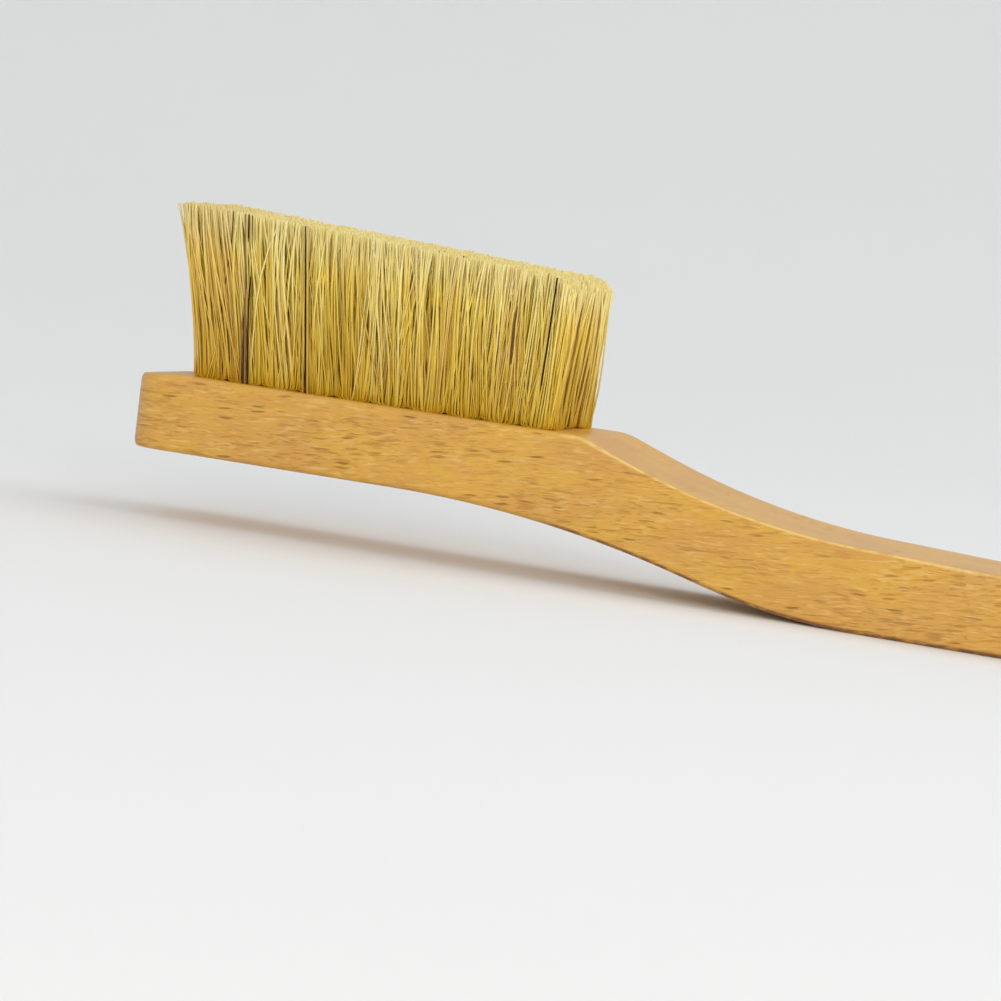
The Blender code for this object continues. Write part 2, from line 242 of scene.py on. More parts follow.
class BoardSettings(bpy.types.PropertyGroup):
    """Sizes and colours of the beech board."""

    head_length: length("Head length", "From the tip to where the neck starts to fall", 0.0762)
    head_thickness: length("Head thickness", "Thickness of the head", 0.0123)
    nose_length: length("Nose length", "Length over which the tip's top falls", 0.0085)
    nose_drop: length("Nose drop", "How far the tip's top falls", 0.0007)
    neck_length: length("Neck length", "Length of the sloping neck along the top", 0.0246)
    neck_thickness: length("Neck thickness", "Height of the top where the handle starts", 0.0136)
    tail_thickness: length("Tail thickness", "Thickness at the tail", 0.0090)
    arch_lead: length("Arch lead", "How far the underside's slope starts before the top's", 0.0063)
    arch_length: length("Arch length", "Length of the slope along the underside", 0.0408)
    nose_radius: length("Nose radius", "Rounding where the tip's top starts to fall", 0.030)
    crest_radius: length("Crest radius", "Rounding where the top starts to fall", 0.010)
    hollow_radius: length("Hollow radius", "Rounding where the neck meets the handle", 0.127)
    arch_radius: length("Arch radius", "Rounding where the underside starts to fall", 0.188)
    belly_radius: length("Belly radius", "Rounding of the handle's belly", 0.095)
    tip_corner: length("Tip corner", "Radius of the tip's corners seen from above", 0.0055)
    tail_corner: length("Tail corner", "Radius of the tail's corners seen from above", 0.0095)
    head_edge: length("Head edge", "Rounding of the long upper edges along the head", 0.0010)
    neck_edge: length("Neck edge", "Rounding of the long upper edges along the neck", 0.0005)
    handle_edge: length("Handle edge", "Rounding of the long upper edges along the handle", 0.0008)
    lower_edge: length("Lower edge", "Rounding of the long lower edges", 0.0010)
    end_edge: length("End edge", "Rounding of the edges round the two ends", 0.0014)
    grain_tilt: angle("Grain tilt", "How far the grain runs up towards the tail", 4.0)
    hanging_hole_radius: length("Hanging hole radius", "Radius of the hole in the tail", 0.0035)
    hanging_hole_from_tail: length("Hanging hole place", "From the tail to the hole's middle", 0.011)
    hanging_hole_bevel: length("Hanging hole bevel", "Bevel round the hole", 0.0004)
    tuft_hole_radius: length("Tuft hole radius", "Radius of the blind holes", 0.00255)
    tuft_hole_depth: length("Tuft hole depth", "Depth of the blind holes", 0.0080)
    relief: length("Relief", "Depth of the grain's relief", 0.00016)
    roughness: share("Roughness", "Roughness of the wood between the flecks", 0.40)
    fleck_roughness: share("Fleck roughness", "Roughness of a full fleck", 0.62)
    fibre_strength: share("Fibre strength", "How strongly the fibres shade the wood", 0.75)
    fleck_strength: share("Fleck strength", "Share of the fleck colour in a full fleck", 0.68)
    honey: colour("Honey", "Main colour of the oiled wood", "DFA942")
    amber: colour("Amber", "Colour of the redder growth bands", "D79F47")
    fleck: colour("Fleck", "Colour of the ray flecks", "A1661A")
    # Pale colour of the long upper edges: partly real rub, partly a painted highlight
    straw: colour("Straw", "Colour of the pale flecks", "E8BE70")
    rubbed_and_highlit: colour("Rubbed and highlit", "Colour of the rubbed edges", "EFCB80")
    # Dark colour of the long lower edges, which is painted shade
    painted_shade: colour("Lower edge shade", "Colour of the lower edges, painted dark where shade falls on them", "7E4A2A")
    end_grain: colour("End grain", "Colour of the end grain", "B47E42")


class BristleSettings(bpy.types.PropertyGroup):
    """Sizes and colours of the bristles."""

    hairs_along: number("Hairs along", "Columns of folded hairs in half a tuft", 9)
    hairs_across: number("Hairs across", "Lines of folded hairs in a tuft", 18)
    sides: number("Sides", "Sides of a hair", 4)
    seed: number("Seed", "Start of the random draws", 20)
    thickness: length("Thickness", "Usual thickness of a hair", 0.00030)
    thickness_spread: length("Thickness spread", "How much the thickness varies", 0.00008)
    root_radius: length("Root radius", "Radius of a tuft in its hole", 0.00245)
    lean: length("Lean", "How far the trimmed top lies towards the tip from the roots", 0.0024)
    tip_height: length("Tip height", "Height of the trim above the head at the tip's end", 0.0270)
    neck_height: length("Neck height", "Height of the trim above the head at the neck's end", 0.0231)
    trim_corner: length("Trim corner", "Rounding of the trim at the neck's end", 0.0046)
    tip_trim_corner: length("Tip trim corner", "Rounding of the trim at the tip's end", 0.0022)
    plan_corner: length("Plan corner", "Rounding of the block's corners seen from above", 0.0030)
    lock_size: length("Lock size", "Spacing of the locks that the hair tips gather into", 0.0019)
    stray: length("Stray", "How far hair tips stray sideways", 0.0015)
    wide_stray: length("Wide stray", "How far the few crossing hairs stray", 0.0030)
    bow: length("Bow", "How far hairs bow out of line", 0.00026)
    wave: length("Wave", "How far hairs wave to and fro", 0.00010)
    trim_error: length("Trim error", "How much the hairs' lengths differ", 0.00011)
    along_fan: share("Fan along", "Spread of the tops along the head, over that of the roots", 1.106)
    across_fan: share("Fan across", "Spread of the tops across the head, over that of the roots", 0.97)
    opening: share("Opening", "Share of its room that a tuft fills just above the wood", 0.97)
    opening_power: share("Opening power", "How fast a tuft opens above the wood", 260.0)
    lock_tint: share("Lock tint", "Share of a hair's shade that it has from its lock", 0.42)
    rosy_share: share("Rosy share", "Share of the locks that have a rosy tinge", 0.24)
    rosy_strength: share("Rosy strength", "Share of the rosy colour in such a lock", 0.42)
    mottle_strength: share("Mottle strength", "How strongly single hairs are mottled", 0.8)
    brown_end: length("Brown end", "Length at the tip's end where the hairs are browner and rosy", 0.0100)
    brown_paleness: share("Brown paleness", "Share of its paleness that a hair keeps there", 0.45)
    crossing: share("Crossing", "Share of hairs that cross the others", 0.18)
    lock_hold: share("Lock hold", "How strongly a lock draws its hairs' tips together", 0.40)
    dark: share("Dark hairs", "Share of hairs that are dark", 0.004)
    loose: share("Loose hairs", "Share of the outer hairs that stand out of the block", 0.04)
    loose_reach: length("Loose reach", "How far loose hairs stand out at most", 0.0005)
    inner_depth: length("Inner depth", "Depth in the block at which hairs have their inner colour", 0.0016)
    blond: colour("Blond", "Main colour of the hairs", "FFE77E")
    cream: colour("Cream", "Colour of the palest hairs", "FFF0AA")
    golden: colour("Golden", "Colour of the golden hairs", "F5D964")
    tawny: colour("Tawny", "Colour of the brownest usual hairs", "D8B556")
    # Multiplied in towards the roots: the roots' own deeper colour and painted shade near the wood
    root: colour("Root", "Tint and painted shade towards the roots", "D1B852")
    rosy: colour("Rosy", "Colour of the locks with a rosy tinge", "EDC284")
    inner: colour("Inner", "Colour of inner hairs, which light reaches through the others", "FAD85C")
    tip: colour("Tip", "Colour of the trimmed tips", "F6EBB6")
    mottle: colour("Mottle", "Tint of the darker spots along a hair", "ECE7C5")
    fawn: colour("Fawn", "Colour of the half dark hairs", "A87C46")
    umber: colour("Umber", "Colour of the dark hairs", "381A08")


class WireSettings(bpy.types.PropertyGroup):
    """Colours of the wire anchors."""

    brass: colour("Brass", "Colour of the wire", "E6C583")
    dull: colour("Dull brass", "Colour of the tarnished wire", "B08E4E")


class StageSettings(bpy.types.PropertyGroup):
    """The studio: camera, lights and floor."""

    azimuth: angle("Azimuth", "Camera's angle round the brush, from square on to the handle's side", 21.0)
    elevation: angle("Elevation", "Camera's angle above the floor", 5.2)
    roll: angle("Roll", "Camera's turn that lets the handle fall to the right", 7.15)
    distance: length("Distance", "Camera's distance from its target", 0.62)
    field: angle("Field of view", "Angle that the picture's width takes in", 14.263)
    target: FloatVectorProperty(
        name="Target", description="Point at the picture's middle", default=(-0.04705, 0.0, 0.0102),
        unit="LENGTH",
    )
    floor_radius: length("Floor radius", "Radius of the flat floor", 0.35)
    cove_radius: length("Cove radius", "Radius of the curve from floor to wall", 1.4)
    wall_height: length("Wall height", "Height of the wall above the cove", 0.3)
    paper: colour("Paper", "Colour of the backdrop", "F0F0EF")
    sky: colour("Sky", "Colour of the light from all round", "F4F7FB")
    sky_strength: share("Sky strength", "Strength of the light from all round", 0.72)


def add_node(tree, kind, *values, named=None, ramp=None, **settings):
    """Add a node with its settings, its inputs' values or links, in turn or named, and its ramp's stops."""
    node = tree.nodes.new("ShaderNode" + kind)
    for name, value in settings.items():
        setattr(node, name, value)
    inputs = list(zip([socket for socket in node.inputs if socket.enabled], values))
    inputs += [(node.inputs[name], value) for name, value in (named or {}).items()]
    for socket, value in inputs:
        if isinstance(value, bpy.types.Node):
            value = next(output for output in value.outputs if output.enabled)
        if isinstance(value, bpy.types.NodeSocket):
            tree.links.new(value, socket)
        elif socket.type == "RGBA":
            socket.default_value = (*value[:3], 1.0)
        else:
            socket.default_value = value
    if ramp:
        stops = node.color_ramp.elements
        while len(stops) < len(ramp):
            stops.new(1.0)
        for stop, (place, value) in zip(stops, ramp):
            stop.position = place
            stop.color = (*value[:3], 1.0) if hasattr(value, "__len__") else (value, value, value, 1.0)
    return node


def start_material(name):
    """A new material without nodes, and the function that adds nodes to it."""
    material = bpy.data.materials.new(name)
    material.use_nodes = True
    material.node_tree.nodes.clear()
    return material, partial(add_node, material.node_tree)


def per_size(sizes):
    """Factors that give a pattern of the given sizes a size of one."""
    return tuple(1 / size for size in sizes)


def oiled_beech(settings):
    """Beech, planed, sanded and oiled.

    Nearly straight grain with wavy brown ray flecks and pale ones along it, faint growth bands, and a
    satin gloss. The long upper edges are paler, partly from real rub and partly as a painted highlight,
    and the long lower edges are darker as painted shade. The flecks are thin sheets that stand
    across the board, so the sides show them as dashes, and the top and underside hardly at all. Real
    fibres are a few hundredths of a millimetre thick, and these are drawn coarser so that they show.
    """
    material, add = start_material("oiled beech")
    spot = add("TexCoord")
    in_mm = add("VectorMath", spot.outputs["Object"], 1 / MM, operation="SCALE")
    tilted = add("VectorRotate", in_mm, named={"Angle": settings.grain_tilt}, rotation_type="Y_AXIS")
    place = tilted
    for sizes, reach in GRAIN_WAVES:
        cells = add("VectorMath", tilted, per_size(sizes), operation="MULTIPLY")
        ripple = add("TexNoise", cells, 1.0)
        place = add("VectorMath", ripple.outputs["Color"], reach, place, operation="MULTIPLY_ADD")
    sources = {"broken wear": ripple}
    for label, (kind, sizes, start, detail, roughness) in WOOD_PATTERNS.items():
        cells = add("VectorMath", place, per_size(sizes), start, operation="MULTIPLY_ADD")
        sources[label] = add(kind, cells, 1.0, detail, roughness)
    sources["chosen dashes"] = add("SeparateColor", sources["dashes"].outputs["Color"])

    facing = add("SeparateXYZ", spot.outputs["Normal"]).outputs
    downward = add("Math", facing["Z"], -1.0, operation="MULTIPLY")
    across = add("Math", facing["Y"], operation="ABSOLUTE")
    sources["ends"] = add("Math", facing["X"], operation="ABSOLUTE")
    sources["sides"] = add("Math", facing["Z"], operation="ABSOLUTE")
    # Masks of the long edges: the upper ones get a painted highlight with their rub, the lower ones painted
    # shade
    sources["rubbed edges"] = add("Math", across, facing["Z"], operation="MINIMUM")
    sources["worn edges"] = add("Math", across, downward, operation="MINIMUM")
    looks = {
        label: add("MapRange", sources[label], *levels, interpolation_type="SMOOTHSTEP")
        for label, levels in WOOD_LEVELS.items()
    }

    dashes = add("Math", looks["dashes"], looks["chosen dashes"], operation="MULTIPLY")
    flecks = add("Math", looks["flecks"], looks["fine flecks"], operation="MAXIMUM")
    all_flecks = add("Math", flecks, looks["clusters"], dashes, operation="MULTIPLY_ADD")
    shown_flecks = add("Math", all_flecks, looks["sides"], operation="MULTIPLY")
    darkening = add("Math", shown_flecks, settings.fleck_strength, operation="MULTIPLY")
    paling = add("Math", looks["pale flecks"], looks["sides"], operation="MULTIPLY")
    head_end = TIP_X + settings.head_length
    along = add("SeparateXYZ", spot.outputs["Object"]).outputs["X"]
    # The edges' rub, painted highlight and painted shade are faint along the head and broken up by a ripple
    toward_handle = add(
        "MapRange", along, head_end - WEAR_AND_LIGHT_FADE, head_end, HEAD_WEAR_AND_LIGHT, 1.0, interpolation_type="SMOOTHSTEP"
    )
    wear_and_painted_light = add("Math", toward_handle, looks["broken wear"], operation="MULTIPLY")
    # Pale mix on the upper edges: partly real rub, partly a painted highlight
    rub_and_highlight = add("Math", looks["rubbed edges"], wear_and_painted_light, operation="MULTIPLY")
    # Dark mix on the lower edges: painted shade
    lower_edge_shading = add("Math", looks["worn edges"], wear_and_painted_light, operation="MULTIPLY")
    fibre_tone = add("ValToRGB", sources["fibres"], ramp=FIBRE_TONES)
    wood = settings.honey
    for amount, tint, blend in (
        (looks["growth bands"], settings.amber, "MIX"),
        (settings.fibre_strength, fibre_tone, "MULTIPLY"),
        (paling, settings.straw, "MIX"),
        (darkening, settings.fleck, "MIX"),
        # painted highlight with real rub on the upper edges
        (rub_and_highlight, settings.rubbed_and_highlit, "MIX"),
        # painted shade on the lower edges
        (lower_edge_shading, settings.painted_shade, "MIX"),
        (looks["ends"], settings.end_grain, "MIX"),
    ):
        wood = add("Mix", amount, wood, tint, data_type="RGBA", blend_type=blend)
    roughness = add("MapRange", shown_flecks, 0.0, 1.0, settings.roughness, settings.fleck_roughness)
    relief = add("Math", shown_flecks, FLECK_RELIEF, sources["fibres"], operation="MULTIPLY_ADD")
    bump = add("Bump", named={"Strength": 0.8, "Distance": settings.relief, "Height": relief})
    shader = add("BsdfPrincipled", named={
        "Base Color": wood, "Roughness": roughness, "Normal": bump, "IOR": 1.5, "Coat Weight": 0.12,
        "Coat Roughness": 0.25,
    })
    add("OutputMaterial", shader)
    return material


def boar_bristle(settings):
    """Boar bristle, washed and trimmed.

    Each hair is a glossy horn fibre of its own blond, deeper towards the root, paler where it was cut
    and mottled every few millimetres, with a few brown and black hairs among them. Near the wood the
    hairs also get painted shade, and inside the block a deeper yellow, a painted tint for light that
    reaches them through the outer hairs.
    """
    material, add = start_material("boar bristle")
    shade, reach, dark, rosiness, depth = [
        add("Attribute", attribute_name="hair_" + label).outputs["Fac"]
        for label in ("shade", "reach", "dark", "rose", "deep")
    ]
    tinging = add("Math", rosiness, settings.rosy_strength, operation="MULTIPLY")
    below_trim = add("MapRange", reach, *INNER_LEVELS, interpolation_type="SMOOTHSTEP")
    # Hairs deep inside the block get a deeper yellow: a painted tint for light that reaches them through the
    # outer hairs
    deepening = add("Math", depth, below_trim, operation="MULTIPLY")
    # Root colour with painted shade near the wood, strongest at the root
    root_tint_and_shade = add("ValToRGB", reach, ramp=ROOT_TINT_AND_SHADE_LEVELS)
    tipping = add("MapRange", reach, *TIP_LEVELS, interpolation_type="SMOOTHSTEP")
    spot = add("TexCoord")
    cells = add("VectorMath", spot.outputs["Object"], per_size(MOTTLE_SIZES), operation="MULTIPLY")
    spots = add("TexNoise", cells, 1.0)
    mottle = add("ValToRGB", spots, ramp=tuple(zip(MOTTLE_STEPS, (settings.mottle, 1.0))))
    browning = add("MapRange", dark, 0.0, HALF_DARK)
    brown = add("ValToRGB", dark, ramp=((HALF_DARK, settings.fawn), (1.0, settings.umber)))
    shades = (settings.tawny, settings.golden, settings.blond, settings.cream)
    hair = add("ValToRGB", shade, ramp=tuple(zip(HAIR_SHADES, shades)))
    for amount, tint, blend in (
        (tinging, settings.rosy, "MIX"),
        # painted tint for light through the outer hairs
        (deepening, settings.inner, "MIX"),
        # root colour with painted shade near the wood
        (root_tint_and_shade, settings.root, "MULTIPLY"),
        (tipping, settings.tip, "MIX"),
        (settings.mottle_strength, mottle, "MULTIPLY"),
        (browning, brown, "MIX"),
    ):
        hair = add("Mix", amount, hair, tint, data_type="RGBA", blend_type=blend)
    shader = add("BsdfPrincipled", named={
        "Base Color": hair, "Roughness": 0.50, "IOR": 1.55, "Specular IOR Level": 0.05,
    })
    add("OutputMaterial", shader)
    return material


def drawn_brass(settings):
    """Brass wire, drawn and rolled flat.

    Bright yellow metal with fine draw lines along it and a little tarnish. Real draw lines are a few
    hundredths of a millimetre wide, and these are drawn coarser so that they show.
    """
    material, add = start_material("drawn brass wire")
    spot = add("TexCoord")
    cells = add("VectorMath", spot.outputs["Object"], per_size(WIRE_LINES), operation="MULTIPLY")
    lines = add("TexNoise", cells, 1.0)
    metal = add("Mix", lines, settings.brass, settings.dull, data_type="RGBA")
    roughness = add("MapRange", lines, 0.0, 1.0, *WIRE_ROUGHNESS)
    shader = add("BsdfPrincipled", named={"Base Color": metal, "Roughness": roughness, "Metallic": 1.0})
    add("OutputMaterial", shader)
    return material


def matte_paper(settings):
    """Studio backdrop paper: pale and quite matte, with a faint cloudiness."""
    material, add = start_material("matte backdrop paper")
    cloud = add("TexNoise", add("TexCoord").outputs["Object"], CLOUD_SCALE)
    tone = add("ValToRGB", cloud, ramp=CLOUD_TONES)
    paper = add("Mix", 1.0, settings.paper, tone, data_type="RGBA", blend_type="MULTIPLY")
    shader = add("BsdfPrincipled", named={"Base Color": paper, "Roughness": 0.9, "IOR": 1.3})
    add("OutputMaterial", shader)
    return material


def add_object(name, data):
    """Put a mesh, a lamp or a camera into the scene."""
    item = bpy.data.objects.new(name, data)
    bpy.context.scene.collection.objects.link(item)
    return item


def add_piece(name, mesh, material):
    """Put a mesh into the scene as a piece of one material."""
    mesh.materials.append(material)
    return add_object(name, mesh)


def corner_arc(before, corner, after, radius, room):
    """Points of the arc that rounds one corner, and the length that it takes of each side."""
    back = (before - corner).normalized()
    ahead = (after - corner).normalized()
    turn = math.pi - back.angle(ahead)
    reach = min(radius * math.tan(turn / 2), room, (after - corner).length)
    radius = reach / math.tan(turn / 2)
    centre = corner + (back + ahead).normalized() * radius / math.cos(turn / 2)
    start = (corner + back * reach - centre).normalized()
    end = (corner + ahead * reach - centre).normalized()
    steps = max(LEAST_ARC_STEPS, math.ceil(turn / ARC_STEP))
    points = [centre + start.slerp(end, step / steps) * radius for step in range(steps + 1)]
    return points, reach


def rounded_path(corners, radii):
    """Places and heights of points along a line through the corners, with its inner corners rounded."""
    corners = [Vector(corner) for corner in corners]
    points = [corners[0]]
    used = 0.0
    for before, corner, after, radius in zip(corners, corners[1:], corners[2:], radii):
        room = (corner - before).length - used
        arc, used = corner_arc(before, corner, after, radius, room)
        points.extend(arc)
    points.append(corners[-1])
    return np.array([point.x for point in points]), np.array([point.y for point in points])


def board_outlines(sizes):
    """Side outlines of the board's top and underside, from tip to tail."""
    floor = BOARD_LOW.z
    top = (
        (0.0, HEAD_TOP - sizes.nose_drop),
        (sizes.nose_length, HEAD_TOP),
        (sizes.head_length, HEAD_TOP),
        (sizes.head_length + sizes.neck_length, sizes.neck_thickness),
        (BOARD_LENGTH, sizes.tail_thickness),
    )
    arch = sizes.head_length - sizes.arch_lead
    rise = HEAD_TOP - sizes.head_thickness
    underside = ((0.0, rise), (arch, rise), (arch + sizes.arch_length, floor), (BOARD_LENGTH, floor))
    return (
        rounded_path(top, (sizes.nose_radius, sizes.crest_radius, sizes.hollow_radius)),
        rounded_path(underside, (sizes.arch_radius, sizes.belly_radius)),
    )


def rounding_loss(distance, radius):
    """How far a rounded corner has drawn in at a distance from the face that it ends on."""
    left = radius - np.clip(distance, 0.0, radius)
    return radius - np.sqrt(np.maximum(radius ** 2 - left ** 2, 0.0))


def section_places(sizes, outlines):
    """Distances from the tip of the board's sections."""
    turns = np.linspace(0.0, math.pi / 2, CORNER_STEPS + 1)
    places = [np.arange(0.0, BOARD_LENGTH, SECTION_STEP), outlines[0][0], outlines[1][0]]
    for radius in (sizes.end_edge, sizes.tip_corner):
        places.append(radius * (1 - np.cos(turns)))
    for radius in (sizes.end_edge, sizes.tail_corner):
        places.append(BOARD_LENGTH - radius * (1 - np.cos(turns)))
    kept = [0.0]
    for place in np.sort(np.concatenate(places)):
        if kept[-1] + LEAST_STEP < place < BOARD_LENGTH - LEAST_STEP:
            kept.append(place)
    return np.array(kept + [BOARD_LENGTH])


def upper_edge(sizes, place):
    """Rounding of the long upper edges at a distance from the tip: crisp at the neck, softer beyond."""
    crisp_start = sizes.head_length + sizes.nose_length
    arch_end = sizes.head_length - sizes.arch_lead + sizes.arch_length
    places = (sizes.head_length, crisp_start, arch_end, arch_end + sizes.neck_length)
    return np.interp(place, places, (sizes.head_edge, sizes.neck_edge, sizes.neck_edge, sizes.handle_edge))


def section_ring(half_width, low, high, upper, lower):
    """Across and up of the points of one section, with rounded edges and a loop close beside each."""
    widest = WIDEST_EDGE * min(2 * half_width, high - low)
    ring = []
    for quarter, wanted in enumerate((upper, upper, lower, lower)):
        radius = min(wanted, widest)
        y = (half_width - radius) * (1 if quarter in (0, 3) else -1)
        z = high - radius if quarter < 2 else low + radius
        for step in range(EDGE_STEPS + 1):
            turn = math.pi / 2 * (quarter + step / EDGE_STEPS)
            ring.append((y + radius * math.cos(turn), z + radius * math.sin(turn)))
    supported = []
    for index, (y, z) in enumerate(ring):
        supported.append((y, z))
        if index % (EDGE_STEPS + 1) == EDGE_STEPS:
            next_y, next_z = ring[(index + 1) % len(ring)]
            supported += [(y + (next_y - y) * way, z + (next_z - z) * way) for way in SUPPORT_SHARES]
    return supported


def turned_rings(bm, profile, sides, middle=0.0):
    """Rings of points turned round an upright line at a place along X, from places and heights."""
    turns = [2 * math.pi * side / sides for side in range(sides)]
    return [
        [bm.verts.new((middle + wide * math.cos(turn), wide * math.sin(turn), high)) for turn in turns]
        for wide, high in profile
    ]


def join_rings(bm, rings):
    """Join each ring of points to the next with faces."""
    for first, second in zip(rings, rings[1:]):
        for near in range(len(first)):
            far = (near + 1) % len(first)
            bm.faces.new((first[near], second[near], second[far], first[far]))


def close_rings(bm, rings):
    """Join the rings, close both ends and turn the faces outwards."""
    join_rings(bm, rings)
    bm.faces.new(rings[0])
    bm.faces.new(rings[-1][::-1])
    bmesh.ops.recalc_face_normals(bm, faces=bm.faces)


def loft_board(sizes):
    """The board's skin, lofted through its sections."""
    outlines = board_outlines(sizes)
    half_width = (BOARD_HIGH.y - BOARD_LOW.y) / 2
    bm = bmesh.new()
    rings = []
    for place in section_places(sizes, outlines):
        to_tail = BOARD_LENGTH - place
        end_loss = rounding_loss(min(place, to_tail), sizes.end_edge)
        side_loss = rounding_loss(place, sizes.tip_corner) + rounding_loss(to_tail, sizes.tail_corner)
        high = np.interp(place, *outlines[0]) - end_loss
        low = np.interp(place, *outlines[1]) + end_loss
        ring = section_ring(half_width - side_loss, low, high, upper_edge(sizes, place), sizes.lower_edge)
        rings.append([bm.verts.new((TIP_X + place, y, z)) for y, z in ring])
    close_rings(bm, rings)
    return bm


def wire_box(name):
    """Lowest and highest corners of the anchor that holds a tuft."""
    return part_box(name.replace(TUFT_WORD, ANCHOR_WORD))


def tuft_root(name):
    """Middle of a tuft's hole, which is the middle of its anchor."""
    low, high = wire_box(name)
    return (low + high) / 2


def hole_cutter(sizes):
    """The blind holes for the tufts, as one mesh."""
    bm = bmesh.new()
    floor = HEAD_TOP - sizes.tuft_hole_depth
    roof = HEAD_TOP + sizes.tuft_hole_radius
    for name in TUFTS:
        root = tuft_root(name)
        made = bmesh.ops.create_cone(
            bm, cap_ends=True, segments=HOLE_SIDES, radius1=sizes.tuft_hole_radius,
            radius2=sizes.tuft_hole_radius, depth=roof - floor,
        )
        bmesh.ops.translate(bm, verts=made["verts"], vec=(root.x, root.y, (floor + roof) / 2))
    return bm


def hanging_hole_cutter(sizes):
    """The hanging hole through the tail, with its bevels, turned from one profile."""
    handle = BOARD_LENGTH - sizes.head_length - sizes.neck_length
    taper = (sizes.neck_thickness - sizes.tail_thickness) / handle
    thickness = sizes.tail_thickness + taper * sizes.hanging_hole_from_tail
    radius = sizes.hanging_hole_radius
    bevel = sizes.hanging_hole_bevel
    overrun = radius
    profile = (
        (radius + bevel + overrun, -overrun),
        (radius, bevel),
        (radius, thickness - bevel),
        (radius + bevel + overrun, thickness + overrun),
    )
    bm = bmesh.new()
    middle = BOARD_HIGH.x - sizes.hanging_hole_from_tail
    close_rings(bm, turned_rings(bm, profile, HANGING_HOLE_SIDES, middle))
    return bm


def mesh_of(name, bm):
    """Turn a bmesh into a mesh."""
    mesh = bpy.data.meshes.new(name)
    bm.to_mesh(mesh)
    bm.free()
    return mesh


def cut_with(piece, bm):
    """Take a bmesh's shape out of a piece, for good."""
    cutter = add_object("cutter", mesh_of("cutter", bm))
    modifier = piece.modifiers.new("cut", "BOOLEAN")
    modifier.operation = "DIFFERENCE"
    modifier.solver = "EXACT"
    modifier.object = cutter
    graph = bpy.context.evaluated_depsgraph_get()
    mesh = bpy.data.meshes.new_from_object(piece.evaluated_get(graph), depsgraph=graph)
    piece.modifiers.remove(modifier)
    piece.data = mesh
    bpy.data.objects.remove(cutter, do_unlink=True)


class BRUSH_OT_board(bpy.types.Operator):
    """Shape the beech board, drill its holes and finish it"""

    bl_idname = "climbing_brush.board"
    bl_label = "Beech Board"

    def execute(self, context):
        sizes = context.scene.brush_board
        piece = add_piece("board", mesh_of("board", loft_board(sizes)), oiled_beech(sizes))
        cut_with(piece, hole_cutter(sizes))
        cut_with(piece, hanging_hole_cutter(sizes))
        piece.data.shade_smooth()
        piece.data.set_sharp_from_angle(angle=SHARP_ANGLE)
        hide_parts(BOARD_NODE)
        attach(piece, BODY)
        return {"FINISHED"}


def disc_spots(spots):
    """Points of the round disc that stand for points of the square from -1 to 1."""
    across, up = spots[:, 0], spots[:, 1]
    return np.stack((across * np.sqrt(1 - up ** 2 / 2), up * np.sqrt(1 - across ** 2 / 2)), 1)


def smooth(values):
    """Smooth step of values from 0 to 1."""
    values = np.clip(values, 0.0, 1.0)
    return values * values * (3 - 2 * values)


